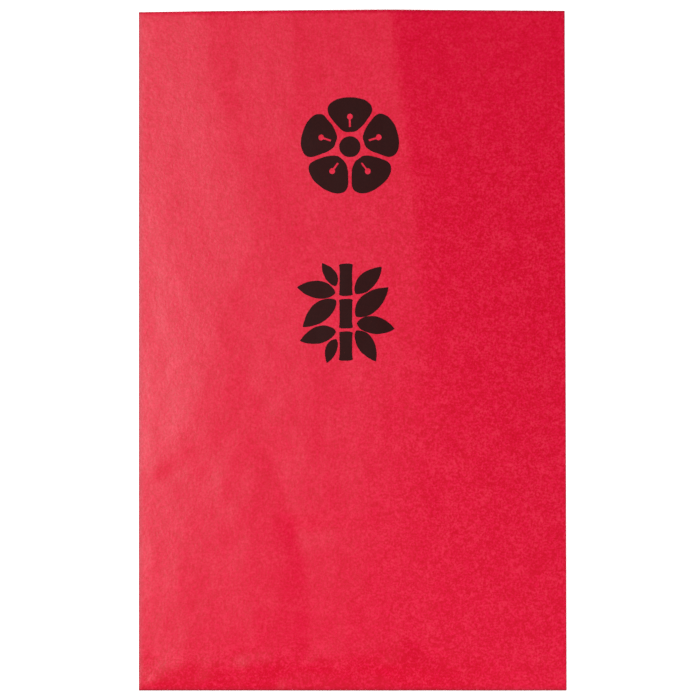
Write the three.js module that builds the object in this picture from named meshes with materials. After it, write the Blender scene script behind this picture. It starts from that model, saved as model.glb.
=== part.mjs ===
// A small red paper envelope, lying on its back with its front up.
// One die-cut sheet, folded and pasted: a crowned front, two back panels that overlap at a centre
// seam, a bottom flap pasted down behind and a loose closing flap folded behind the top edge.
// The sheet is parted at its folds, so each panel, fold and band of paste is a solid of its own.
// Millimetres. +X is the right of the front, +Y runs up to the top fold, +Z comes out of the front.

import * as THREE from "three";

// The sheet and the bag

const bagWidth = 75.5;
const bagHeight = 120;
const paper = 0.15;
const paste = 0.05;
const hairGap = 0.05; // where the sheet is parted beside a fold
const rightLean = 0.35; // how much the right side fold leans in by the top
const sideFoldRoom = 0.1; // between front and back inside a side fold
const endFoldReach = 0.3; // how far the bottom and top folds roll outwards

// The crown of the front over the empty pocket

const crownAtTopFold = 2.9;
const crownAtBottomFold = 0.4;
const ridgeAtTopFold = 6.6; // the ridge line's place right of the middle
const ridgeAtBottomFold = 5.5;
const ridgeBow = 5.6; // how far the ridge line bows to the right between its ends
// How the crown falls away: 1 is a flat slope, and more stays level for longer
const bottomFall = 4;
const leftFallAtTopFold = 1.05;
const leftFallAtBottomFold = 1.75;
const rightFallAtTopFold = 1.05;
const rightFallAtBottomFold = 2.2;

// The back panels and their seam

const seamOverlap = 17.5;
const seamMiddle = -1.2;
const seamStepRun = 3.2; // the inner panel climbs onto the outer one over this run
const seamStepLead = 0.4; // the climb ends this far before the outer panel's edge
const mouthDropAtSide = 1.6; // the back panels' top edges fall from the side folds to the seam
const mouthDropAtSeam = 4.4;
const bottomCutBack = 0.4; // the back panels stop this far above the bottom fold's bend

// The flaps

const bottomFlapDepth = 13;
const bottomFlapInset = 0.9;
const bottomFlapTaper = 3.5;
const bottomFlapCorner = 2.5;
const closingFlapDepth = 19;
const closingFlapInset = 0.9;
const closingFlapTaper = 5;
const closingFlapCorner = 6;
const hingeClearance = 0.15; // beyond the fold's reach, so the flap turns clear of it

// The bands of paste

const seamPasteWidth = 7;
const seamPasteFromBottom = 3;
const seamPasteFromMouth = 6;
const bottomPasteWidth = 6;
const bottomPasteFromEdge = 2;
const bottomPasteEnd = 3;

// How finely the sheets are divided

const frontColumnsPerSide = 13;
const frontRows = 30;
const sideFoldSteps = 6;
const endFoldSteps = 8;
const backRows = 8;
const stepColumns = 5;
const cornerSegments = 8;

// Levels of the stacked sheets, from the surface that the envelope lies on

const flapTop = paper;
const backUnder = flapTop + paste;
const backTop = backUnder + paper;
const innerUnder = backTop + paste;
const frontUnderAtSide = backTop + sideFoldRoom;
const frontTopAtSide = frontUnderAtSide + paper;

// The lines that the pieces share

const sideFoldReach = (frontTopAtSide - backUnder) / 2;
const topBend = bagHeight / 2 - endFoldReach;
const bottomBend = -topBend;
const seamLeft = seamMiddle - seamOverlap / 2;
const seamRight = seamMiddle + seamOverlap / 2;
const backBottom = bottomBend + bottomCutBack;

function shareUp(y) {
  return (y - bottomBend) / (topBend - bottomBend);
}

function smooth(share) {
  const held = THREE.MathUtils.clamp(share, 0, 1);
  return held * held * (3 - 2 * held);
}

// The bends beside the side folds: the left one is upright, the right one leans in

function leftBend() {
  return -bagWidth / 2 + sideFoldReach;
}

function rightBend(y) {
  return bagWidth / 2 - sideFoldReach - rightLean * shareUp(y);
}

// A curve that is from at share 0, to at share 1, and bowed by bow halfway

function bowed(from, to, bow, share) {
  return THREE.MathUtils.lerp(from, to, share) + bow * (1 - (2 * share - 1) ** 2);
}

function ridgePlace(y) {
  return bowed(ridgeAtBottomFold, ridgeAtTopFold, ridgeBow, shareUp(y));
}

function crownHeight(y) {
  const shareDown = THREE.MathUtils.clamp(1 - shareUp(y), 0, 1);
  return THREE.MathUtils.lerp(crownAtTopFold, crownAtBottomFold, shareDown ** bottomFall);
}

function fallPower(atBottomFold, atTopFold, y) {
  return THREE.MathUtils.lerp(atBottomFold, atTopFold, shareUp(y));
}

// The top of the front, from the surface that the envelope lies on

function frontTop(x, y) {
  const ridge = ridgePlace(y);
  const onLeft = x < ridge;
  const run = onLeft ? ridge - leftBend() : rightBend(y) - ridge;
  const power = onLeft
    ? fallPower(leftFallAtBottomFold, leftFallAtTopFold, y)
    : fallPower(rightFallAtBottomFold, rightFallAtTopFold, y);
  const away = Math.min(Math.abs(x - ridge) / run, 1);
  return frontTopAtSide + crownHeight(y) * (1 - away ** power);
}

// A closed sheet from two grids of points, the outer face and the inner face, row by row

function sheetSolid(outerRows, innerRows) {
  const rows = outerRows.length;
  const columns = outerRows[0].length;
  const points = [...outerRows.flat(), ...innerRows.flat()];
  const inner = rows * columns;
  const index = [];
  const at = (row, column) => row * columns + column;
  const quad = (a, b, c, d) => index.push(a, b, c, a, c, d);
  for (let row = 0; row < rows - 1; row++) {
    for (let column = 0; column < columns - 1; column++) {
      const a = at(row, column);
      const b = at(row, column + 1);
      const c = at(row + 1, column + 1);
      const d = at(row + 1, column);
      quad(a, b, c, d);
      quad(inner + a, inner + d, inner + c, inner + b);
    }
  }
  const edge = [];
  for (let column = 0; column < columns - 1; column++) edge.push(at(0, column));
  for (let row = 0; row < rows - 1; row++) edge.push(at(row, columns - 1));
  for (let column = columns - 1; column > 0; column--) edge.push(at(rows - 1, column));
  for (let row = rows - 1; row > 0; row--) edge.push(at(row, 0));
  edge.forEach((from, step) => {
    const to = edge[(step + 1) % edge.length];
    quad(from, inner + from, inner + to, to);
  });
  const places = points.flatMap((point) => point.toArray());
  const geometry = new THREE.BufferGeometry();
  geometry.setAttribute("position", new THREE.Float32BufferAttribute(places, 3));
  geometry.setIndex(index);
  geometry.computeVertexNormals();
  return geometry;
}

function shiftedDown(rows, depth) {
  return rows.map((row) => row.map(({ x, y, z }) => new THREE.Vector3(x, y, z - depth)));
}

function stations(from, to, steps) {
  return Array.from({ length: steps + 1 }, (_, step) => THREE.MathUtils.lerp(from, to, step / steps));
}

// Columns across the front at height y, with one of them on the ridge line

function frontColumns(y) {
  const ridge = ridgePlace(y);
  const left = stations(leftBend() + hairGap, ridge, frontColumnsPerSide);
  const right = stations(ridge, rightBend(y) - hairGap, frontColumnsPerSide);
  return [...left, ...right.slice(1)];
}

function frontPanel() {
  const outer = stations(bottomBend + hairGap, topBend - hairGap, frontRows).map((y) =>
    frontColumns(y).map((x) => new THREE.Vector3(x, y, frontTop(x, y))),
  );
  return sheetSolid(outer, shiftedDown(outer, paper));
}

// A side fold: half a roll from the front's edge down and under to the back panel's edge

function sideFold(bend, side) {
  const middle = (frontTopAtSide + backUnder) / 2;
  const ring = (reach) =>
    stations(bottomBend + hairGap, topBend - hairGap, backRows).map((y) => {
      const arc = stations(Math.PI / 2, -Math.PI / 2, sideFoldSteps).map((angle) => {
        const x = bend(y) + side * reach * Math.cos(angle);
        return new THREE.Vector3(x, y, middle + reach * Math.sin(angle));
      });
      return side > 0 ? arc : arc.reverse();
    });
  return sheetSolid(ring(sideFoldReach), ring(sideFoldReach - paper));
}

// An end fold: half a roll as tall as the crown there, from the front's end down and under to a flap

function endFold(bend, side) {
  const ring = (inset) =>
    frontColumns(bend).map((x) => {
      const height = frontTop(x, bend);
      const arc = stations(Math.PI / 2, -Math.PI / 2, endFoldSteps).map((angle) => {
        const y = bend + side * (endFoldReach - inset) * Math.cos(angle);
        return new THREE.Vector3(x, y, height / 2 + (height / 2 - inset) * Math.sin(angle));
      });
      return side > 0 ? arc.reverse() : arc;
    });
  return sheetSolid(ring(0), ring(paper));
}

// The height of the back panels' top edges, which fall from each side fold to the seam

function mouthEdge(x) {
  const away = x < seamMiddle
    ? (seamMiddle - x) / (seamMiddle - leftBend())
    : (x - seamMiddle) / (rightBend(topBend) - seamMiddle);
  return topBend - THREE.MathUtils.lerp(mouthDropAtSeam, mouthDropAtSide, Math.min(away, 1));
}

function plate(outline, bottom, thickness) {
  const geometry = new THREE.ExtrudeGeometry(outline, {
    depth: thickness,
    bevelEnabled: false,
    curveSegments: cornerSegments,
  });
  return geometry.translate(0, 0, bottom);
}

function rightBackPanel() {
  const outline = new THREE.Shape();
  outline.moveTo(seamLeft, backBottom);
  outline.lineTo(rightBend(backBottom) - hairGap, backBottom);
  outline.lineTo(rightBend(topBend) - hairGap, mouthEdge(rightBend(topBend)));
  outline.lineTo(seamMiddle, mouthEdge(seamMiddle));
  outline.lineTo(seamLeft, mouthEdge(seamMiddle));
  outline.closePath();
  return plate(outline, backUnder, paper);
}

// The inner back panel lies level with the outer one at its side and climbs onto it at the seam

function leftBackPanel() {
  const climbTo = seamLeft - seamStepLead;
  const climbFrom = climbTo - seamStepRun;
  const columns = [
    leftBend() + hairGap,
    ...stations(climbFrom, climbTo, stepColumns),
    seamMiddle,
    seamRight,
  ];
  const underside = (x) =>
    THREE.MathUtils.lerp(backUnder, innerUnder, smooth((x - climbFrom) / seamStepRun));
  const outer = stations(0, 1, backRows).map((share) =>
    columns.map((x) => {
      const y = THREE.MathUtils.lerp(backBottom, mouthEdge(Math.min(x, seamMiddle)), share);
      return new THREE.Vector3(x, y, underside(x) + paper);
    }),
  );
  return sheetSolid(outer, shiftedDown(outer, paper));
}

// A flap from its root line towards its free edge, narrowing, with rounded corners

function flapOutline(root, depth, towards, inset, taper, corner) {
  const rootLeft = leftBend() + inset;
  const rootRight = rightBend(root) - inset;
  const free = root + towards * depth;
  const slope = taper / depth;
  const beside = corner / Math.hypot(1, slope);
  const outline = new THREE.Shape();
  outline.moveTo(rootLeft, root);
  outline.lineTo(rootLeft + taper - slope * beside, free - towards * beside);
  outline.quadraticCurveTo(rootLeft + taper, free, rootLeft + taper + corner, free);
  outline.lineTo(rootRight - taper - corner, free);
  const sideRight = rootRight - taper + slope * beside;
  outline.quadraticCurveTo(rootRight - taper, free, sideRight, free - towards * beside);
  outline.lineTo(rootRight, root);
  outline.closePath();
  return outline;
}

function bottomFlap() {
  const root = bottomBend + hairGap;
  return plate(
    flapOutline(root, bottomFlapDepth, 1, bottomFlapInset, bottomFlapTaper, bottomFlapCorner),
    0,
    paper,
  );
}

function closingFlap() {
  const root = topBend - endFoldReach - hingeClearance;
  return plate(
    flapOutline(root, closingFlapDepth, -1, closingFlapInset, closingFlapTaper, closingFlapCorner),
    0,
    paper,
  );
}

function band(left, right, bottom, top) {
  const outline = new THREE.Shape();
  outline.moveTo(left, bottom);
  outline.lineTo(right, bottom);
  outline.lineTo(right, top);
  outline.lineTo(left, top);
  outline.closePath();
  return outline;
}

function seamPaste() {
  const middle = (seamLeft + seamRight) / 2;
  const outline = band(
    middle - seamPasteWidth / 2,
    middle + seamPasteWidth / 2,
    backBottom + seamPasteFromBottom,
    mouthEdge(seamMiddle) - seamPasteFromMouth,
  );
  return plate(outline, backTop, paste);
}

function bottomPaste() {
  const top = bottomBend + bottomFlapDepth - bottomPasteFromEdge;
  const inset = bottomFlapInset + bottomFlapTaper + bottomPasteEnd;
  const outline = band(leftBend() + inset, rightBend(top) - inset, top - bottomPasteWidth, top);
  return plate(outline, flapTop, paste);
}

// Finishes: dyed-through paper, a little duller behind, and clear dried paste

function finish(color, roughness) {
  return new THREE.MeshStandardMaterial({ color, roughness, metalness: 0 });
}

const redFront = finish("#e0203f", 0.62);
const redBack = finish("#d8253f", 0.72);
const driedPaste = finish("#e9c9a8", 0.4);

const envelope = new THREE.Group();

function add(name, geometry, material) {
  const mesh = new THREE.Mesh(geometry, material);
  mesh.name = name;
  envelope.add(mesh);
}

add("front_panel", frontPanel(), redFront);
add("left_side_fold", sideFold(leftBend, -1), redFront);
add("right_side_fold", sideFold(rightBend, 1), redFront);
add("bottom_fold", endFold(bottomBend, -1), redFront);
add("top_fold", endFold(topBend, 1), redFront);
add("left_back_panel", leftBackPanel(), redBack);
add("right_back_panel", rightBackPanel(), redBack);
add("seam_paste", seamPaste(), driedPaste);
add("bottom_flap", bottomFlap(), redBack);
add("bottom_paste", bottomPaste(), driedPaste);
add("closing_flap", closingFlap(), redBack);

export default envelope;
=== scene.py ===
# A small red paper envelope lying on its back, seen from straight above, in Blender 4.5.
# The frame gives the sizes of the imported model. Sizes written here are in millimetres.

import math

import bpy
import numpy as np
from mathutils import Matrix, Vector, geometry, noise

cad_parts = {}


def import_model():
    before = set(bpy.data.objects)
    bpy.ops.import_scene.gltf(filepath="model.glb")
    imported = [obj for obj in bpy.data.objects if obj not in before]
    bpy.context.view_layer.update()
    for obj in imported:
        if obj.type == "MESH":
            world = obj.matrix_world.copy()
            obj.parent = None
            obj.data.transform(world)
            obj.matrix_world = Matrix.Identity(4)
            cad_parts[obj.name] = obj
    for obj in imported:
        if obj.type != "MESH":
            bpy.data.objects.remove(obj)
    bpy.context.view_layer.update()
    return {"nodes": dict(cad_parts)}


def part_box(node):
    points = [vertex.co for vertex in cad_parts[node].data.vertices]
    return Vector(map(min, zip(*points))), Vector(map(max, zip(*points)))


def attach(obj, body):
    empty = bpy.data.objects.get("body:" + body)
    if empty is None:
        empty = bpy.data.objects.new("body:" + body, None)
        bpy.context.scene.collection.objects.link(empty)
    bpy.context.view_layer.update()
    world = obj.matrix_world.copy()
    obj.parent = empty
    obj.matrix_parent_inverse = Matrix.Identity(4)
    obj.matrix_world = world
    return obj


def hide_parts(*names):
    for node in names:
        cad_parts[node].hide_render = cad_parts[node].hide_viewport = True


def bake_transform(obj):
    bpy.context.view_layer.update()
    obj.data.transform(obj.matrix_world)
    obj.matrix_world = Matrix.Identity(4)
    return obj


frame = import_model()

MM = 0.001


# Sizes from the frame, in millimetres

def node_box(name):
    low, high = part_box(name)
    return np.array(low) / MM, np.array(high) / MM


front_low, front_high = node_box("front_panel")
side_low, side_high = node_box("left_side_fold")
top_low, top_high = node_box("top_fold")
flap_low, flap_high = node_box("closing_flap")
bottom_flap_high = node_box("bottom_flap")[1]
left_back_high = node_box("left_back_panel")[1]
right_back_low = node_box("right_back_panel")[0]

paper = flap_high[2] - flap_low[2]
top_bend = top_low[1]
bottom_bend = -top_bend
end_reach = top_high[1] - top_bend
hair_gap = top_bend - front_high[1]
edge_level = side_high[2]
back_under = side_low[2]
side_reach = (edge_level - back_under) / 2
side_middle = (edge_level + back_under) / 2
left_bend = front_low[0] - hair_gap
right_bend_bottom = front_high[0] + hair_gap
right_bend_top = top_high[0] + hair_gap
bag_half = (right_bend_bottom - left_bend) / 2
seam_left = right_back_low[0]
seam_right = left_back_high[0]
back_bottom = right_back_low[1]
inner_top = left_back_high[2]
flap_root = flap_high[1]
flap_free = flap_low[1]
bottom_flap_free = bottom_flap_high[1]

# The crown of the front, as the part's source has it, but lower by the height of the bent lines

crown_at_top = 2.62
crown_at_bottom = 0.4
ridge_at_top = 6.6
ridge_at_bottom = 5.5
ridge_bow = 5.6
bottom_fall = 4
left_fall_at_top = 1.05
left_fall_at_bottom = 1.75
right_fall_at_top = 1.05
right_fall_at_bottom = 2.2

# The back panels' cut and the flaps' outlines, as the part's source has them

seam_middle = -1.2
seam_step_run = 3.2
seam_step_lead = 0.4
mouth_drop_at_side = 1.6
mouth_drop_at_seam = 4.4
flap_inset = 0.9
closing_flap_taper = 5
closing_flap_corner = 6
bottom_flap_taper = 3.5
bottom_flap_corner = 2.5


def smooth(share):
    held = np.clip(share, 0, 1)
    return held * held * (3 - 2 * held)


def between(low, high, share):
    return low + (high - low) * share


def share_up(y):
    return (y - bottom_bend) / (top_bend - bottom_bend)


def right_bend(y):
    return between(right_bend_bottom, right_bend_top, share_up(y))


def ridge_place(y):
    share = share_up(y)
    return between(ridge_at_bottom, ridge_at_top, share) + ridge_bow * 4 * share * (1 - share)


def crown_height(y):
    share_down = np.clip(1 - share_up(y), 0, 1)
    return between(crown_at_top, crown_at_bottom, share_down**bottom_fall)


# Fine relief of the handled paper: lines where it was bent a little, and soft waves

def waves(x, y, height, wave, stretch, seed):
    """Smooth waves of about this height, wave millimetres across and stretch times as long."""
    values = [
        noise.noise(Vector((px / wave, py / (wave * stretch), seed)))
        for px, py in zip(np.ravel(x), np.ravel(y))
    ]
    return height * np.array(values).reshape(np.shape(x))


# A bent line fades in from each end over this much, or over a third of its length where that is
# less, and it starts this share of the way in. Nearer than this to the left edge it is lower.
longest_fade = 4
fade_lead = 0.2
full_rise_from_edge = 12
# A line across the front fades in over this share of its length
cross_fade = 0.25


def bent_line(x, y, points, rise, left, right, edge):
    """A low ridge, or a valley, along an upright line, that falls away over left and right."""
    low_y, high_y = points[-1][1], points[0][1]
    ys = [point[1] for point in points[::-1]]
    xs = [point[0] for point in points[::-1]]
    line_x = np.interp(y, ys, xs)
    fade = min(longest_fade, (high_y - low_y) / 3)
    ends = smooth((y - low_y) / fade + fade_lead) * smooth((high_y - y) / fade + fade_lead)
    away = x - line_x
    past = np.sqrt(away**2 + edge**2) - edge
    to_edge = np.maximum(line_x - left_bend, edge)
    if left is None:
        on_left = np.clip(1 - past / (np.sqrt(to_edge**2 + edge**2) - edge), 0, 1)
    else:
        on_left = np.exp(-past / left)
    beside = np.where(away < 0, on_left, np.exp(-past / right))
    room = np.clip(to_edge / full_rise_from_edge, 0, 1)
    return rise * ends * beside * room


def cross_line(x, y, start, stop, rise, width):
    """A low ridge along a line that runs across the front."""
    run = np.subtract(stop, start)
    share = np.clip(((x - start[0]) * run[0] + (y - start[1]) * run[1]) / (run @ run), 0, 1)
    away = np.hypot(x - start[0] - share * run[0], y - start[1] - share * run[1])
    ends = smooth(share / cross_fade), smooth((1 - share) / cross_fade)
    return rise * np.exp(-((away / width) ** 2)) * ends[0] * ends[1]


# Upright bent lines, top point first, in millimetres from the middle. After the points come the
# rise, how far it falls away to the left and to the right, and how round its edge is. None stands
# for an even slope down to the left edge.
bent_lines = [
    ([(-26.3, 66), (-24.7, 46.7), (-18.2, 27), (-17.8, 19.4), (-21.6, 8.8), (-25.1, -4.4),
      (-27.7, -11.5), (-29.5, -15.9), (-35.7, -22.9)], 0.27, None, 16, 1.2),
    ([(-32, -22), (-30.6, -34), (-30.4, -46), (-31.5, -62)], 0.15, None, 8, 1),
    ([(-18.9, 12.3), (-18, -4.4), (-15.4, -15.9), (-13.4, -22)], -0.1, 3.6, 7, 0.8),
    ([(-15.4, -15.9), (-12, -26.5), (-9.4, -35)], -0.15, 2.6, 8, 0.6),
    ([(-10.8, -29), (-8.7, -37), (-7.8, -47.6), (-8.2, -60)], -0.3, 2, 8, 0.6),
    ([(7, 66), (7.4, 47), (9.2, 40), (11, 28)], 0.26, 14, 10, 0.25),
    ([(11, 30), (12.8, 14), (13.4, 2), (12.2, -9)], 0.17, 12, 10, 0.8),
    ([(-9.9, 66), (-10.2, 48), (-11, 36)], 0.17, 8, 14, 0.3),
    ([(-20.2, 66), (-20.4, 52), (-19.8, 42)], -0.05, 3, 4, 0.4),
    ([(-23, -21.5), (-23.2, -28)], 0.06, 1.4, 0.8, 0.25),
    ([(-20.3, -26), (-20.6, -34)], 0.04, 1.4, 0.9, 0.25),
    ([(-30.4, -37), (-30.8, -42.5)], 0.06, 1.3, 0.8, 0.25),
    ([(-17.4, -44.5), (-16.6, -52)], 0.07, 1.8, 0.9, 0.3),
    ([(8.7, -20), (8.9, -31)], 0.02, 1.6, 1, 0.4),
    ([(22.2, -26), (22.6, -36)], 0.02, 1.6, 1, 0.4),
    ([(-33.5, -55), (-33.5, -60.5)], 0.12, 2, 8, 0.5),
    ([(-18.5, -53.5), (-18.5, -60)], 0.18, 3, 7, 0.5),
    ([(9.5, -50.5), (9.5, -59.5)], 0.15, 4, 6, 0.5),
]
# Lines across the front: their two ends, the rise and the width
cross_lines = [
    ((12, -19.4), (34, -15.2), 0.09, 1.1),
    ((-36, -24.5), (-25, -17), -0.04, 1.4),
    ((-22, -57), (-5, -57.3), -0.1, 1.5),
    ((8.5, -50), (17, -57), -0.09, 1.7),
]
# Soft waves: their height, width, stretch along the height and seed
cockle = (0.05, 9.0, 1.8, 3.0)
ripple = (0.03, 3.4, 1.5, 11.0)
pucker = (0.2, 4.6, 0.8, 23.0)
back_cockle = (0.03, 8.0, 1.8, 41.0)
# Handling raised them towards the lower end, the ripple most on the right, and the paste drew
# puckers in the sheet near the bottom fold
handled_from = 20
handled_run = 40
rippled_from = 5
rippled_run = 12
puckered_from = -50.5
puckered_run = 5
cockle_by_handling = 0.5
ripple_unhandled = 0.6
ripple_by_handling = 1.1
ripple_at_right = 0.5
# The relief dies out over these distances from the folds
relief_fade_left = 0.9
relief_fade_right = 3
relief_fade_bottom = 1.4
# The waves die out over these as well, but some of them is kept at the top fold
waves_fade_left = 2.5
waves_fade_top = 1.5
waves_kept_at_top = 0.35


def relief(x, y):
    """The height of the bent lines and the soft waves that lie on the crown."""
    bends = sum(bent_line(x, y, *line) for line in bent_lines)
    bends = sum((cross_line(x, y, *line) for line in cross_lines), bends)
    handled = smooth((handled_from - y) / handled_run)
    rippled = 1 + ripple_at_right * smooth((x - rippled_from) / rippled_run)
    puckered = smooth((puckered_from - y) / puckered_run)
    soft = (1 + cockle_by_handling * handled) * waves(x, y, *cockle)
    soft += (ripple_unhandled + ripple_by_handling * handled * rippled) * waves(x, y, *ripple)
    soft += puckered * waves(x, y, *pucker)
    waves_inside = smooth((top_bend - y) / waves_fade_top + waves_kept_at_top)
    waves_inside *= smooth((x - left_bend) / waves_fade_left)
    soft *= waves_inside
    inside = smooth((x - left_bend) / relief_fade_left)
    inside *= smooth((right_bend(y) - x) / relief_fade_right)
    return (bends + soft) * inside * smooth((y - bottom_bend) / relief_fade_bottom)


# The pasted end is flattened, least so towards the right corner, which springs up
flattened_share = 0.96
flattened_reach = 4.6
sprung_share = 0.6
sprung_from = 14
sprung_run = 12

# The front stays this far above what lies under it, and over this much it comes down to the folds
least_clearance = 0.06
clearance_run = 2.5
# It clears the step at the seam from this far outside the seam
seam_margin_left = 4
seam_margin_right = 2
seam_margin_run = 2


def front_top(x, y):
    """The height of the front: its crown with the relief on it, over what lies beneath."""
    ridge = ridge_place(y)
    on_left = x < ridge
    run = np.where(on_left, ridge - left_bend, right_bend(y) - ridge)
    left_power = between(left_fall_at_bottom, left_fall_at_top, share_up(y))
    right_power = between(right_fall_at_bottom, right_fall_at_top, share_up(y))
    power = np.where(on_left, left_power, right_power)
    away = np.clip(np.abs(x - ridge) / run, 0, 1)
    flattened = flattened_share * (1 - sprung_share * smooth((x - sprung_from) / sprung_run))
    kept = 1 - flattened * smooth((bottom_bend + flattened_reach - y) / flattened_reach)
    top = edge_level + crown_height(y) * kept * (1 - away**power) + relief(x, y)
    over_seam = smooth((x - seam_left + seam_margin_left) / seam_margin_run)
    over_seam *= smooth((seam_right + seam_margin_right - x) / seam_margin_run)
    back_level = between(back_under + paper, inner_top, over_seam)
    inside = smooth((x - left_bend) / clearance_run) * smooth((right_bend(y) - x) / clearance_run)
    return np.maximum(top, back_level + paper + least_clearance * inside)


# The top fold was creased by hand, so its line bows down a hair to the left

fold_drop = 0.25
fold_drop_reach = 30


def fold_bow(x, y):
    """How far a point near the top is drawn down by the bow of the top fold."""
    to_left = np.clip((ridge_at_top - x) / (ridge_at_top - left_bend), 0, None)
    near_top = np.clip((y - top_bend + fold_drop_reach) / fold_drop_reach, 0, 1)
    return fold_drop * to_left**2 * near_top**2


# Edges that turn by more than this are sharp, and the steps of a rolled fold stay soft
sharp_turn = math.radians(42)


def add_piece(name, points, faces):
    """An object made from points in millimetres."""
    mesh = bpy.data.meshes.new(name)
    mesh.from_pydata((points * MM).tolist(), [], faces)
    mesh.shade_smooth()
    mesh.set_sharp_from_angle(angle=sharp_turn)
    piece = bpy.data.objects.new(name, mesh)
    bpy.context.scene.collection.objects.link(piece)
    return piece


# Closed paper sheets from two grids of points

def sheet(name, outer, inner):
    """A closed sheet between the outer and inner grids."""
    rows, columns = outer.shape[:2]
    at = np.arange(rows * columns).reshape(rows, columns)
    inner_from = rows * columns
    a, b, c, d = at[:-1, :-1], at[:-1, 1:], at[1:, 1:], at[1:, :-1]
    outer_faces = np.stack([a, b, c, d], axis=-1).reshape(-1, 4)
    inner_faces = np.stack([a, d, c, b], axis=-1).reshape(-1, 4) + inner_from
    around = np.concatenate([at[0, :-1], at[:-1, -1], at[-1, :0:-1], at[:0:-1, 0]])
    onward = np.roll(around, -1)
    wall_faces = np.stack([around, around + inner_from, onward + inner_from, onward], axis=-1)
    points = np.concatenate([outer.reshape(-1, 3), inner.reshape(-1, 3)])
    faces = np.concatenate([outer_faces, inner_faces, wall_faces])
    return add_piece(name, points, faces.tolist())


def grid_points(x, y, z):
    return np.stack(np.broadcast_arrays(x, y, z), axis=-1).astype(float)


# Wear of the front's paper, and shade painted at its folds and pasted end, which its material reads

# Handling roughened it on the right, less at the top, and along the pasted end
rubbed_right_from = -10
rubbed_right_run = 30
rubbed_below = 60
rubbed_below_run = 40
rubbed_end_from = -50
rubbed_end_run = 6
# The pasted end was pressed smooth up to a wandering line, higher in one bay, but not at the right,
# and shade is painted over that part as a deeper tone. The wander is given as the soft waves are.
pressed_reach = 4.5
pressed_run = 2.5
pressed_wander = (2.5, 4, 1, 53.0)
bay_middle = 9
bay_half = 10
bay_rise = 4
unpressed_from = 20
unpressed_run = 8


def rubbed(x, y):
    """How far handling has roughened the paper, from 0 to 1."""
    at_right = smooth((x - rubbed_right_from) / rubbed_right_run)
    at_right *= smooth((rubbed_below - y) / rubbed_below_run)
    return np.maximum(at_right, smooth((rubbed_end_from - y) / rubbed_end_run))


def pressed(x, y):
    """How far the pasted end was pressed smooth and is painted with shade, from 0 to 1."""
    bay = bay_rise * smooth(1 - np.abs(x - bay_middle) / bay_half)
    reach = pressed_reach + bay + waves(x, 0 * y, *pressed_wander)
    unpressed = smooth((x - unpressed_from) / unpressed_run)
    return smooth((bottom_bend + reach - y) / pressed_run + 0.5) * (1 - unpressed)


def painted_fold_shade(x, y):
    """How much shade is painted along the rolled folds: each starts a little before its bend."""
    folds = (
        (bottom_bend - y, 0.1, end_reach, 1),
        (y - top_bend, 0.1, end_reach, 0.4),
        (x - right_bend(y), 0.03, side_reach, 0.6),
        (left_bend - x, 0.1, side_reach, 0.5),
    )
    wear = [most * smooth((past + lead) / reach) for past, lead, reach, most in folds]
    return np.max(wear, axis=0)


def mark_wear_and_shade(piece):
    """The wear at each point of a piece, and the shade painted at its folds and pasted end, stored
    as attributes.
    """
    x, y = np.array([vertex.co[:2] for vertex in piece.data.vertices]).T / MM
    for name, wear in (("fold", painted_fold_shade), ("rubbed", rubbed), ("pressed", pressed)):
        attribute = piece.data.attributes.new(name, "FLOAT", "POINT")
        attribute.data.foreach_set("value", wear(x, y))


# The front and its rolled folds. A corner is squarer than an ellipse, and gapes a hair beneath.

cell = 0.62
fold_steps = 12
corner_square = 0.45
corner_gape = 0.35


def front_columns(y):
    """Columns across the front at heights y, one of them on the ridge line."""
    ridge = ridge_place(y)
    share = np.linspace(0, 1, int(bag_half / cell) + 1)[None, :]
    left = between(left_bend, ridge[:, None], share)
    right = between(ridge[:, None], right_bend(y)[:, None], share[:, 1:])
    return np.concatenate([left, right], axis=1)


def corner_patch(depth, side, end, bend_x):
    """A corner, where a side fold rounds into an end fold, from its outermost point inwards."""
    away = 1 - np.arange(fold_steps) / fold_steps
    from_row, from_column = away[:, None], away[None, :]
    nearer_row = from_column >= from_row
    turn = np.where(nearer_row, from_row / from_column, 2 - from_column / from_row) * math.pi / 4
    roll = math.pi - corner_gape * np.sin(2 * turn)
    rise = math.pi / 2 - np.maximum(from_row, from_column) * roll
    bend_y = bottom_bend if end < 0 else top_bend
    low = between(side_middle - side_reach, 0, np.sin(turn) ** 2)
    middle = (low + edge_level) / 2
    half = (edge_level - low) / 2
    x = bend_x + side * (side_reach - depth) * np.cos(turn) ** corner_square * np.cos(rise)
    y = bend_y + end * (end_reach - depth) * np.sin(turn) ** corner_square * np.cos(rise)
    return grid_points(x, y, middle + (half - depth) * np.sin(rise))


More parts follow.
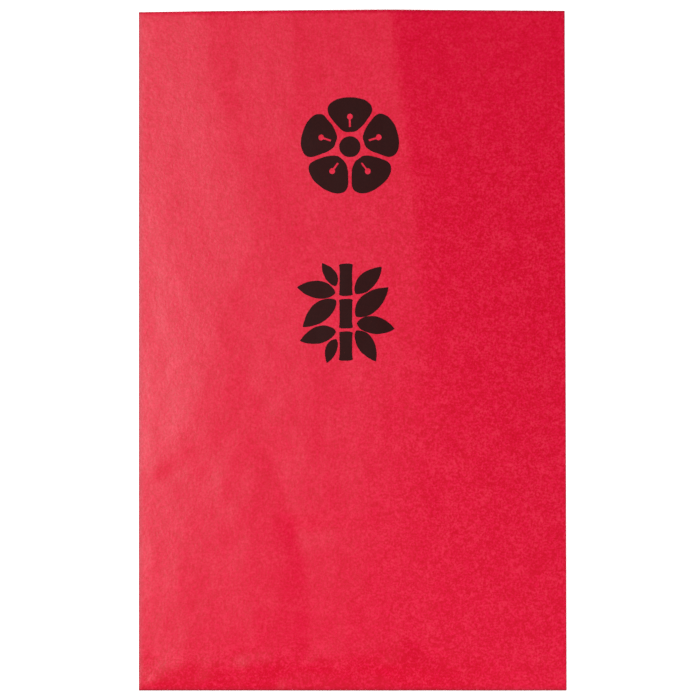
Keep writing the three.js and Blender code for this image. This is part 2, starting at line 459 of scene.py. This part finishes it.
def front_sheet():
    """The front with its four rolled folds and their corners, as one sheet."""
    count = int((top_bend - bottom_bend) / cell)
    y = np.linspace(bottom_bend, top_bend, count + 1)
    x = front_columns(y)
    wide_y = np.broadcast_to(y[:, None], x.shape)
    top = front_top(x, wide_y)
    rows, columns = np.array(x.shape) + 2 * fold_steps
    turns = math.pi * (np.arange(fold_steps) / fold_steps - 0.5)
    outward = np.arange(fold_steps)
    panel = slice(fold_steps, -fold_steps)

    def layer(depth):
        points = np.zeros((rows, columns, 3))
        points[panel, panel] = grid_points(x, wide_y, top - depth)
        for step, turn in enumerate(turns):
            aside = (side_reach - depth) * math.cos(turn)
            level = side_middle + (side_reach - depth) * math.sin(turn)
            points[panel, step] = grid_points(left_bend - aside, y, level)
            points[panel, -1 - step] = grid_points(right_bend(y) + aside, y, level)
            beyond = (end_reach - depth) * math.cos(turn)
            for row, end, beyond_y in ((step, 0, y[0] - beyond), (-1 - step, -1, y[-1] + beyond)):
                level = top[end] / 2 + (top[end] / 2 - depth) * math.sin(turn)
                points[row, panel] = grid_points(x[end], beyond_y, level)
        for side, end, bend_x in (
                (-1, -1, left_bend), (-1, 1, left_bend),
                (1, -1, right_bend_bottom), (1, 1, right_bend_top)):
            row = outward if end < 0 else -1 - outward
            column = outward if side < 0 else -1 - outward
            points[np.ix_(row, column)] = corner_patch(depth, side, end, bend_x)
        points[..., 1] -= fold_bow(points[..., 0], points[..., 1])
        return points

    piece = sheet("front_sheet", layer(0), layer(paper))
    mark_wear_and_shade(piece)
    return piece


# The back panels, which hang a little between the flaps

back_rows = 150
back_columns = 60
level_columns = 31
climb_columns = 9
seam_columns = 25
back_sag = 0.1
sag_margin = 3
sag_run = 14
sag_run_at_sides = 6


def mouth_edge(x):
    """The upper edge of the back panels, which is cut lower at the seam."""
    left = (seam_middle - x) / (seam_middle - left_bend)
    right = (x - seam_middle) / (right_bend_top - seam_middle)
    away = np.clip(np.maximum(left, right), 0, 1)
    return top_bend - between(mouth_drop_at_seam, mouth_drop_at_side, away)


def back_relief(x, y):
    """How the back panels sag between the flaps, with their waves."""
    middle = smooth((y - bottom_flap_free - sag_margin) / sag_run)
    middle *= smooth((flap_free - sag_margin - y) / sag_run)
    inside = smooth((x - left_bend) / sag_run_at_sides)
    inside *= smooth((right_bend(y) - x) / sag_run_at_sides)
    return middle * inside * (waves(x, y, *back_cockle) - back_sag)


def back_sheet(name, columns, underside, edge):
    """A back panel from the columns at each height, its underside and its upper edge."""
    rows = np.linspace(0, 1, back_rows)[:, None]
    x = columns(between(back_bottom, top_bend, rows[:, 0]))
    y = between(back_bottom, edge(x), rows)
    under = underside(x) + back_relief(x, y)
    return sheet(name, grid_points(x, y, under + paper), grid_points(x, y, under))


def right_back_sheet():
    """The outer back panel, which is level."""
    def columns(y):
        share = np.linspace(0, 1, back_columns + 1)[None, :]
        return between(seam_left, right_bend(y)[:, None], share)

    def underside(x):
        return np.full(x.shape, back_under)

    return back_sheet("right_back_sheet", columns, underside, mouth_edge)


def left_back_sheet():
    """The inner back panel, which climbs onto the other just left of the seam."""
    climb_to = seam_left - seam_step_lead
    climb_from = climb_to - seam_step_run
    across = np.concatenate([
        np.linspace(left_bend, climb_from, level_columns + 1)[:-1],
        np.linspace(climb_from, climb_to, climb_columns + 1)[:-1],
        np.linspace(climb_to, seam_right, seam_columns + 1),
    ])

    def columns(y):
        return np.broadcast_to(across[None, :], (len(y), len(across)))

    def underside(x):
        return between(back_under, inner_top - paper, smooth((x - climb_from) / seam_step_run))

    def edge(x):
        return mouth_edge(np.minimum(x, seam_middle))

    return back_sheet("left_back_sheet", columns, underside, edge)


# The two flaps

root_steps = 6
flap_steps = 13
flap_columns = 90


def corner_draw(depth, past, corner):
    """How far a rounded corner draws a side in, near the free edge."""
    into = np.clip(past - (depth - corner), 0, corner)
    return corner - np.sqrt(np.clip(corner**2 - into**2, 0, None))


def flap_sheet(name, bend, root, free, taper, corner):
    """A flap from the end of its fold to its free edge."""
    depth = abs(free - root)
    towards = np.sign(free - root)
    lead = abs(root - bend)
    past = np.concatenate([
        np.linspace(-lead, 0, root_steps + 1)[:-1],
        np.linspace(0, depth - corner, flap_steps + 1)[:-1],
        depth - corner + corner * np.sin(np.linspace(0, math.pi / 2, flap_steps + 1)),
    ])
    inset = flap_inset * np.clip((past + lead) / max(lead, hair_gap), 0, 1)
    narrow = inset + taper * np.clip(past, 0, None) / depth
    draw = narrow + corner_draw(depth, past, corner)
    y = root + towards * past
    right = right_bend(y) - draw
    left = left_bend + draw
    across = np.linspace(0, 1, flap_columns)[None, :]
    x = between(left[:, None], right[:, None], across)
    wide_y = np.broadcast_to(y[:, None], x.shape)
    if towards < 0:
        x, wide_y = x[::-1], wide_y[::-1]
    lifted = wide_y - fold_bow(x, wide_y)
    zero = np.zeros(x.shape)
    return sheet(name, grid_points(x, lifted, zero + paper), grid_points(x, lifted, zero))


# Printed ornaments: flat black shapes laid on the front

ink_thickness = 0.014
ink_lift = 0.012
edge_wobble = 0.07
edge_wave = 1.1
blossom_middle = (-0.5, 35.8)
bamboo_middle = (-1.2, 6.8)
arc_points = 20
circle_points = 48

petals = 5
petal_points = 90
petal_tip = 8.7
petal_foot = 2.6
petal_gap = 0.62
# At 1 a petal is an ellipse, and towards 0 its corners fill out
petal_roundness = 0.62
heart_radius = 1.85
stamen_foot = 3.5
stamen_tip = 5.3
stamen_half_width = 0.17
stamen_head = 0.52

# A leaf's width grows from its foot and from its tip by these powers of the way from each
leaf_points = 40
leaf_width = 0.465
leaf_fullness = 1.5
leaf_foot_power = 0.7
leaf_tip_power = 0.9
leaf_droop = 0.7
stalk_joint = 1.3
stalk_waist = 1.1
joint_flare = 0.7
# Each leaf's foot, its turn from upright and its length, and the two ends of each length of stalk
leaves = [
    ((-1.75, 4.6), -0.4, 4.6), ((-1.9, 3.3), -1.31, 6.7), ((-1.75, 2), -2.15, 7.4),
    ((-1.75, -3.4), -1.72, 6.5), ((-1.7, -4.8), -2.6, 4.4),
    ((1.75, 3.2), 0.66, 6.5), ((1.75, -0.8), 0.75, 7.6),
    ((1.9, -2.05), 1.6, 6.7), ((1.75, -3.3), 2.45, 6.4),
]
stalks = [(-8.6, -3.4), (-2.9, 2.3), (2.8, 8.5)]


def polar(radius, turn):
    """The point at this radius and this turn from upright, clockwise."""
    return (radius * math.sin(turn), radius * math.cos(turn))


def blossom_heart():
    turns = np.linspace(0, 2 * math.pi, circle_points, endpoint=False)
    return [(heart_radius * math.cos(a), heart_radius * math.sin(a)) for a in turns]


def petal(turn):
    """One round-topped petal, kept half a gap from its neighbours."""
    outline = []
    for a in np.linspace(0, 2 * math.pi, petal_points, endpoint=False):
        aside = math.copysign(abs(math.cos(a)) ** petal_roundness, math.cos(a))
        outward = math.copysign(abs(math.sin(a)) ** petal_roundness, math.sin(a))
        radius = between(petal_foot, petal_tip, (outward + 1) / 2)
        half = math.pi / petals - math.asin(petal_gap / 2 / radius)
        outline.append(polar(radius, turn + aside * half))
    return outline


def stamen(turn):
    """A pin-shaped gap in a petal: a stem with a round head."""
    along = np.array(polar(1, turn))
    across = np.array([along[1], -along[0]])
    opening = math.asin(stamen_half_width / stamen_head)
    arc = np.linspace(-math.pi + opening, math.pi - opening, arc_points)
    foot = along * stamen_foot
    points = [foot - across * stamen_half_width, foot + across * stamen_half_width]
    for a in arc[::-1]:
        out = along * (stamen_tip + stamen_head * math.cos(a))
        points.append(out + across * stamen_head * math.sin(a))
    return points


def plum_blossom():
    shapes = [blossom_heart()]
    for k in range(petals):
        turn = 2 * math.pi * k / petals
        shapes += [petal(turn), stamen(turn)]
    return shapes


def leaf(foot, turn, length):
    """A leaf drawn in one stroke: full near its foot, pointed at its tip and drooping a little."""
    along = np.array(polar(1, turn))
    across = np.array([along[1], -along[0]])
    share = (1 - np.cos(np.linspace(0, math.pi, leaf_points))) / 2
    full = leaf_width * length * leaf_fullness
    half = full * share**leaf_foot_power * (1 - share) ** leaf_tip_power
    droop = math.copysign(leaf_droop, turn)
    middle = np.array(foot) + np.outer(share * length, along) + np.outer(droop * share**2, across)
    right = middle + np.outer(half, across)
    left = middle - np.outer(half, across)
    return np.concatenate([right, left[-2:0:-1]])


def rounded(points):
    """The outline with its corners cut three times."""
    points = np.array(points, float)
    for _ in range(3):
        after = np.roll(points, -1, axis=0)
        cuts = [0.75 * points + 0.25 * after, 0.25 * points + 0.75 * after]
        points = np.stack(cuts, axis=1).reshape(-1, 2)
    return points


def stalk(low, high):
    """One length of the stalk, flared at its joints."""
    side = [(stalk_joint, low), (stalk_waist, low + joint_flare),
            (stalk_waist, high - joint_flare), (stalk_joint, high)]
    return rounded(side + [(-x, y) for x, y in side[::-1]])


def bamboo():
    return [stalk(*ends) for ends in stalks] + [leaf(*drawn) for drawn in leaves]


def wobbled(points, seed):
    """The outline with the slight unevenness of a printed brush edge."""
    x, y = np.array(points).T
    aside = waves(x, y, edge_wobble, edge_wave, 1, seed)
    along = waves(x, y, edge_wobble, edge_wave, 1, seed + 0.5)
    return np.stack([x + aside, y + along], axis=-1)


def is_inked(places, outlines):
    """Whether each place lies inside an odd number of the outlines, found by a ray to the right."""
    px, py = places[:, 0, None], places[:, 1, None]
    crossings = np.zeros(len(places), int)
    for outline in outlines:
        (x, y), (next_x, next_y) = outline.T, np.roll(outline, -1, axis=0).T
        spans = (y > py) != (next_y > py)
        is_right = ((px - x) * (next_y - y) < (py - y) * (next_x - x)) == (next_y > y)
        crossings += (spans & is_right).sum(axis=1)
    return crossings % 2 == 1


def filled(outlines):
    """Triangles that fill the outlines, with points between them as close as the front's."""
    rims = np.concatenate(outlines)
    box = zip(rims.min(axis=0), rims.max(axis=0))
    grid = np.meshgrid(*(np.arange(low, high, cell) for low, high in box))
    inner = np.stack(grid, axis=-1).reshape(-1, 2)
    to_rim = np.linalg.norm(inner[:, None] - rims[None, :], axis=2).min(axis=1)
    points = np.concatenate([rims, inner[to_rim > cell / 3]])
    edges = []
    for outline in outlines:
        first = len(edges)
        edges += [(first + k, first + (k + 1) % len(outline)) for k in range(len(outline))]
    hull_output, least_step = 0, 1e-6
    places, _, corners, *_ = geometry.delaunay_2d_cdt(
        [Vector(point) for point in points], edges, [], hull_output, least_step)
    places, corners = np.array(places), np.array(corners)
    corners = corners[is_inked(places[corners].mean(axis=1), outlines)]
    kept, corners = np.unique(corners, return_inverse=True)
    return places[kept], corners.reshape(-1, 3)


def ornament(name, shapes, middle, seed):
    """The shapes as one thin film of ink that lies on the front."""
    places, corners = filled([wobbled(shape, seed) for shape in shapes])
    x, y = (places + middle).T
    under = grid_points(x, y - fold_bow(x, y), front_top(x, y) + ink_lift)
    points = np.concatenate([under, under + (0, 0, ink_thickness)])
    top = corners + len(under)
    sides = np.concatenate([corners[:, [0, 1]], corners[:, [1, 2]], corners[:, [2, 0]]]).tolist()
    met = {(b, a) for a, b in sides}
    walls = [(a, b, b + len(under), a + len(under)) for a, b in sides if (a, b) not in met]
    return add_piece(name, points, top.tolist() + corners[:, ::-1].tolist() + walls)


# Materials

def linear(colour):
    """A colour written as sRGB hex, as the linear values that a shader takes."""
    values = []
    for k in (1, 3, 5):
        part = int(colour[k:k + 2], 16) / 255
        values.append(part / 12.92 if part <= 0.04045 else ((part + 0.055) / 1.055) ** 2.4)
    return (*values, 1.0)


def add_node(tree, kind, settings=(), inputs=(), links=()):
    """One node with its settings, its sockets' values and the links into it."""
    node = tree.nodes.new(kind)
    for name, value in dict(settings).items():
        setattr(node, name, value)
    for name, value in dict(inputs).items():
        node.inputs[name].default_value = value
    for name, source in dict(links).items():
        tree.links.new(source, node.inputs[name])
    return node


def new_material(name):
    material = bpy.data.materials.new(name)
    material.use_nodes = True
    material.node_tree.nodes.clear()
    return material, material.node_tree


def per_mm(size):
    """The scale of a pattern whose features are size millimetres across."""
    return 1 / (size * MM)


# The noise repeats itself in rays about its origin, so that lies off the part
pattern_shift = (0.113, 0.171, 0.0707)

# Rubbing raises the fibres, so it adds to the strength of the mottling. Laying them flat at the
# pressed end takes from the roughness, and shade is painted there as a deeper tone.
mottling_strength = 0.64
mottling_by_rubbing = 0.46
pressed_end_painted_shade = -0.2
roughness_by_pressing = -0.04


def dyed_paper(name, deep, bright, pale, fold_shade_tint, roughness):
    """Machine-glazed paper dyed through in the pulp.

    The eye sees a deep red, mottled by fibres that took more or less of the dye, with faint streaks
    along the height where the web ran through the machine, and a soft sheen that the felt's marks
    break up. The mottling is stronger where hands rubbed the paper, and the pressed end is
    smoother. Shade is painted into the colour as a deeper tone at the pressed end and as a dark
    tint along the rolled folds.
    """
    material, tree = new_material(name)
    place = add_node(tree, "ShaderNodeTexCoord").outputs["Object"]

    def pattern(size, detail, stretch=1.0):
        """Soft noise about 0, its features size millimetres across and stretch times as tall."""
        run = add_node(
            tree, "ShaderNodeMapping", {},
            {"Location": pattern_shift, "Scale": (1.0, 1 / stretch, 1.0)}, {"Vector": place})
        texture = add_node(
            tree, "ShaderNodeTexNoise", {},
            {"Scale": per_mm(size), "Detail": detail, "Roughness": 0.6},
            {"Vector": run.outputs["Vector"]})
        return add_node(
            tree, "ShaderNodeMath", {"operation": "SUBTRACT"}, {1: 0.5},
            {0: texture.outputs["Fac"]}).outputs[0]

    def mixture(base, parts):
        """The base value plus each pattern times its weight."""
        total = add_node(tree, "ShaderNodeValue").outputs[0]
        total.default_value = base
        for source, weight in parts:
            total = add_node(
                tree, "ShaderNodeMath", {"operation": "MULTIPLY_ADD"}, {1: weight},
                {0: source, 2: total}).outputs[0]
        return total

    # Single fibres are too fine to show, so speck and fibre are drawn as bundles of them.
    speck = pattern(0.36, 1.0)
    fibre = pattern(0.42, 1.0, 3.0)
    tuft = pattern(0.95, 2.0)
    cloud = pattern(4.0, 3.0)
    felt = pattern(2.6, 2.0, 1.4)
    grain = pattern(0.5, 1.0)
    fold, rubbing, pressed_and_shaded = (
        add_node(tree, "ShaderNodeAttribute", {"attribute_name": wear}).outputs["Fac"]
        for wear in ("fold", "rubbed", "pressed"))
    mottling = mixture(0.0, [(speck, 2.7), (fibre, 0.4), (tuft, 1.5), (cloud, 0.5)])
    strength = mixture(mottling_strength, [(rubbing, mottling_by_rubbing)])
    # At the pressed end the middle tone is lowered, which paints shade there.
    middle_tone_and_shade = mixture(0.5, [(pressed_and_shaded, pressed_end_painted_shade)])
    tone = add_node(
        tree, "ShaderNodeMath", {"operation": "MULTIPLY_ADD"}, {},
        {0: mottling, 1: strength, 2: middle_tone_and_shade}).outputs[0]
    undyed = mixture(-0.11, [(tone, 0.28), (grain, 0.6), (cloud, 0.4)])
    colour = add_node(
        tree, "ShaderNodeMix", {"data_type": "RGBA"}, {6: linear(deep), 7: linear(bright)},
        {0: tone}).outputs[2]
    # The pale is undyed fibre. The fold tint is shade painted along the rolled folds.
    for share, tint in ((undyed, pale), (fold, fold_shade_tint)):
        colour = add_node(
            tree, "ShaderNodeMix", {"data_type": "RGBA"}, {7: linear(tint)},
            {0: share, 6: colour}).outputs[2]
    # The weights are heights in millimetres.
    height = mixture(
        0.0, [(speck, 0.008), (grain, 0.009), (fibre, 0.004), (tuft, 0.014), (felt, 0.034)])
    bump = add_node(
        tree, "ShaderNodeBump", {}, {"Strength": 1.0, "Distance": MM}, {"Height": height})
    # Solid cellulose has an IOR near 1.5. Loose fibres shine less, and these match the photo.
    shader = add_node(
        tree, "ShaderNodeBsdfPrincipled", {},
        {"Metallic": 0.0, "IOR": 1.36, "Specular IOR Level": 0.62},
        {"Base Color": colour, "Normal": bump.outputs["Normal"],
         "Roughness": mixture(roughness, [(pressed_and_shaded, roughness_by_pressing)])})
    add_node(tree, "ShaderNodeOutputMaterial", {}, {}, {"Surface": shader.outputs["BSDF"]})
    return material


def offset_ink():
    """Black offset printing ink that soaked into the paper.

    The eye sees a near black, faintly red from the paper, with a matt grain. The grain is drawn
    coarser than single fibres, which are too fine to show, and the IOR is below the ink's own
    of about 1.5, because it sank in between the fibres and kept next to no sheen.
    """
    material, tree = new_material("offset_ink_on_paper")
    place = add_node(tree, "ShaderNodeTexCoord").outputs["Object"]
    speck = add_node(
        tree, "ShaderNodeTexNoise", {}, {"Scale": per_mm(0.42), "Detail": 2.0, "Roughness": 0.6},
        {"Vector": place})
    colour = add_node(
        tree, "ShaderNodeMix", {"data_type": "RGBA"}, {6: linear("#260808"), 7: linear("#340e0d")},
        {0: speck.outputs["Fac"]})
    bump = add_node(
        tree, "ShaderNodeBump", {}, {"Strength": 0.4, "Distance": 0.01 * MM},
        {"Height": speck.outputs["Fac"]})
    shader = add_node(
        tree, "ShaderNodeBsdfPrincipled", {}, {"Metallic": 0.0, "IOR": 1.19, "Roughness": 0.45},
        {"Base Color": colour.outputs[2], "Normal": bump.outputs["Normal"]})
    add_node(tree, "ShaderNodeOutputMaterial", {}, {}, {"Surface": shader.outputs["BSDF"]})
    return material


def starch_paste():
    """Starch paste brushed on and dried.

    The eye sees a thin, faintly yellow film, a little cracked.
    """
    material, tree = new_material("dried_starch_paste")
    place = add_node(tree, "ShaderNodeTexCoord").outputs["Object"]
    crack = add_node(
        tree, "ShaderNodeTexVoronoi", {"feature": "DISTANCE_TO_EDGE"}, {"Scale": per_mm(1.6)},
        {"Vector": place})
    colour = add_node(
        tree, "ShaderNodeMix", {"data_type": "RGBA"}, {6: linear("#b98f78"), 7: linear("#ead2b4")},
        {0: crack.outputs["Distance"]})
    bump = add_node(
        tree, "ShaderNodeBump", {}, {"Strength": 0.4, "Distance": 0.02 * MM},
        {"Height": crack.outputs["Distance"]})
    shader = add_node(
        tree, "ShaderNodeBsdfPrincipled", {}, {"Metallic": 0.0, "IOR": 1.5, "Roughness": 0.35},
        {"Base Color": colour.outputs[2], "Normal": bump.outputs["Normal"]})
    add_node(tree, "ShaderNodeOutputMaterial", {}, {}, {"Surface": shader.outputs["BSDF"]})
    return material


sweep_glow = 0.86


def studio_white():
    """Painted studio sweep.

    The eye sees plain white with soft shadows on it. It glows to the camera and in reflections
    alone, so the glow lights nothing.
    """
    material, tree = new_material("white_sweep")
    paths = add_node(tree, "ShaderNodeLightPath")
    seen = add_node(
        tree, "ShaderNodeMath", {"operation": "MAXIMUM"}, {},
        {0: paths.outputs["Is Camera Ray"], 1: paths.outputs["Is Glossy Ray"]})
    seen = add_node(
        tree, "ShaderNodeMath", {"operation": "MAXIMUM"}, {},
        {0: seen.outputs[0], 1: paths.outputs["Is Transmission Ray"]})
    glow = add_node(
        tree, "ShaderNodeMath", {"operation": "MULTIPLY"}, {1: sweep_glow}, {0: seen.outputs[0]})
    shader = add_node(
        tree, "ShaderNodeBsdfPrincipled", {},
        {"Base Color": linear("#f4f4f4"), "Roughness": 0.9, "Emission Color": (1, 1, 1, 1)},
        {"Emission Strength": glow.outputs[0]})
    add_node(tree, "ShaderNodeOutputMaterial", {}, {}, {"Surface": shader.outputs["BSDF"]})
    return material


def coat(piece, material):
    piece.data.materials.clear()
    piece.data.materials.append(material)


# The dark fourth colour of each paper is the shade painted along its rolled folds.
front_paper = dyed_paper("dyed_paper_outside", "#d70027", "#ee0a42", "#f04050", "#860a1c", 0.385)
back_paper = dyed_paper("dyed_paper_back", "#d2022a", "#e71c40", "#e8484e", "#860a1c", 0.44)
ink = offset_ink()
paste_film = starch_paste()

front = front_sheet()
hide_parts("front_panel", "left_side_fold", "right_side_fold", "bottom_fold", "top_fold")
left_back = left_back_sheet()
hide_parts("left_back_panel")
right_back = right_back_sheet()
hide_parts("right_back_panel")
bottom_flap = flap_sheet("bottom_flap_sheet", bottom_bend, bottom_bend + hair_gap, bottom_flap_free,
                         bottom_flap_taper, bottom_flap_corner)
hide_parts("bottom_flap")
closing_flap = flap_sheet("closing_flap_sheet", top_bend, flap_root, flap_free,
                          closing_flap_taper, closing_flap_corner)
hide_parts("closing_flap")
blossom = ornament("plum_blossom_print", plum_blossom(), blossom_middle, 5.0)
stalk_and_leaves = ornament("bamboo_print", bamboo(), bamboo_middle, 9.0)

for piece in (front, left_back, right_back, bottom_flap, blossom, stalk_and_leaves):
    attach(piece, "envelope")
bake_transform(closing_flap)

coat(front, front_paper)
for piece in (left_back, right_back, bottom_flap, closing_flap):
    coat(piece, back_paper)
for piece in (blossom, stalk_and_leaves):
    coat(piece, ink)
for name in ("seam_paste", "bottom_paste"):
    coat(frame["nodes"][name], paste_film)


# Stage, lamps and camera. The sweep and the lamps are in metres and watts.

sweep_radius = 2.0
sweep_wall = 0.9
wall_curve = 0.5
floor_rings = 11
curve_rings = 8
around = 96
# In millimetres: the sweep lies this far beneath the part, so that no two faces share a plane
sweep_drop = 0.02


def white_sweep():
    """A round floor whose rim curves up into a wall all round."""
    curve = [(r, 0.0) for r in np.linspace(0, sweep_radius, floor_rings + 1)]
    for a in np.linspace(0, math.pi / 2, curve_rings + 1)[1:]:
        curve.append((sweep_radius + wall_curve * math.sin(a), wall_curve * (1 - math.cos(a))))
    curve.append((sweep_radius + wall_curve, sweep_wall))
    points = [(0.0, 0.0, 0.0)]
    for radius, height in curve[1:]:
        for k in range(around):
            a = 2 * math.pi * k / around
            points.append((radius * math.cos(a), radius * math.sin(a), height))
    faces = [(0, 1 + k, 1 + (k + 1) % around) for k in range(around)]
    for ring in range(len(curve) - 2):
        for k in range(around):
            a = 1 + ring * around + k
            b = 1 + ring * around + (k + 1) % around
            faces.append((a, a + around, b + around, b))
    mesh = bpy.data.meshes.new("white_sweep")
    mesh.from_pydata(points, [], faces)
    mesh.shade_smooth()
    floor = bpy.data.objects.new("white_sweep", mesh)
    bpy.context.scene.collection.objects.link(floor)
    floor.location.z = -sweep_drop * MM
    mesh.materials.append(studio_white())


def lamp(name, place, size, power):
    light = bpy.data.lights.new(name, "AREA")
    light.shape = "DISK"
    light.size = size
    light.energy = power
    holder = bpy.data.objects.new(name, light)
    bpy.context.scene.collection.objects.link(holder)
    holder.location = place
    holder.rotation_euler = (Vector((0, 0, 0)) - Vector(place)).to_track_quat("-Z", "Y").to_euler()


def world(strength):
    made = bpy.data.worlds.new("dim_room")
    made.use_nodes = True
    made.node_tree.nodes["Background"].inputs["Color"].default_value = (1, 1, 1, 1)
    made.node_tree.nodes["Background"].inputs["Strength"].default_value = strength
    bpy.context.scene.world = made


# The photograph's frame: 700 pixels wide, 5.671 of them to a millimetre on the envelope
frame_pixels = 700
pixels_per_mm = 5.671
middle_column = 352.7
middle_row = 350.7
camera_height = 530
sensor = 36


def camera():
    lens = bpy.data.cameras.new("camera")
    lens.sensor_width = sensor
    lens.lens = sensor * camera_height / (frame_pixels / pixels_per_mm)
    lens.clip_start = 0.01
    lens.clip_end = 20
    holder = bpy.data.objects.new("camera", lens)
    bpy.context.scene.collection.objects.link(holder)
    aside = (frame_pixels / 2 - middle_column) / pixels_per_mm
    along = (middle_row - frame_pixels / 2) / pixels_per_mm
    holder.location = (aside * MM, along * MM, (camera_height + edge_level) * MM)
    bpy.context.scene.camera = holder


white_sweep()
lamp("softbox_left", (-0.42, -0.012, 0.62), 0.3, 5.1)
lamp("low_fill_right", (0.28, -0.3, 0.25), 0.25, 1.0)
world(0.02)
camera()
bpy.context.scene.view_settings.view_transform = "Standard"
